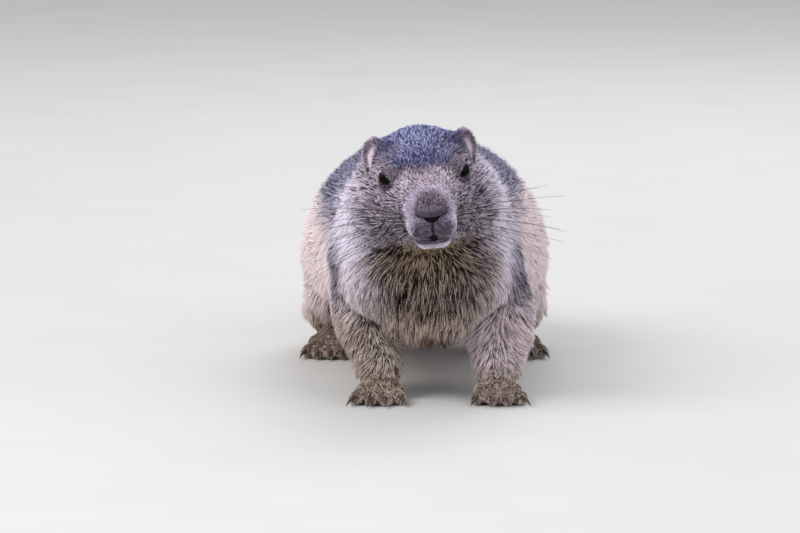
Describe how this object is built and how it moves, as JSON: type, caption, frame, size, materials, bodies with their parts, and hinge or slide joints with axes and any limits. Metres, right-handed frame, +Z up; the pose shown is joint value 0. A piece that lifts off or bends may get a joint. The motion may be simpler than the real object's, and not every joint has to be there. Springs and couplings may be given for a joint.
{
  "type": "alpine marmot",
  "caption": "Life-size alpine marmot standing on all four feet, head low and turned a little, with small round ears, blunt muzzle, dense coat, long claws and a bushy tail.",
  "frame": {"origin": "on the floor, at the middle of the base of the bounding box", "axes": "+X to the animal's left, +Y from nose to tail, +Z up"},
  "size_m": [0.1857, 0.6343, 0.1969],
  "materials": {
    "coat_head": "short slate-grey fur flecked with white, paler on the muzzle",
    "coat_neck": "longer grizzled fur, tan under the throat",
    "coat_body": "dense soft fur, pale on the flanks and slate grey on the back",
    "coat_leg": "short tan fur",
    "coat_tail": "long bushy fur with a black tip",
    "ear_skin": "very short fur with a pale rim",
    "nose_skin": "moist dark skin",
    "eye": "dark and glossy",
    "claw": "dark horn"
  },
  "bodies": {
    "root": {"head": "coat_head", "neck": "coat_neck", "chest": "coat_neck", "torso_front": "coat_body", "torso_rear": "coat_body", "tail": "coat_tail", "ear_left": "ear_skin", "ear_right": "ear_skin", "eye_left": "eye", "eye_right": "eye", "nose": "nose_skin", "upper_arm_left": "coat_body", "upper_arm_right": "coat_body", "forearm_left": "coat_leg", "forearm_right": "coat_leg", "forepaw_left": "coat_leg", "forepaw_right": "coat_leg", "thigh_left": "coat_body", "thigh_right": "coat_body", "shank_left": "coat_leg", "shank_right": "coat_leg", "hind_foot_left": "coat_leg", "hind_foot_right": "coat_leg", "claw_fore_left_1": "claw", "claw_fore_left_2": "claw", "claw_fore_left_3": "claw", "claw_fore_left_4": "claw", "claw_fore_right_1": "claw", "claw_fore_right_2": "claw", "claw_fore_right_3": "claw", "claw_fore_right_4": "claw", "claw_hind_left_1": "claw", "claw_hind_left_2": "claw", "claw_hind_left_3": "claw", "claw_hind_left_4": "claw", "claw_hind_left_5": "claw", "claw_hind_right_1": "claw", "claw_hind_right_2": "claw", "claw_hind_right_3": "claw", "claw_hind_right_4": "claw", "claw_hind_right_5": "claw"}
  },
  "joints": []
}
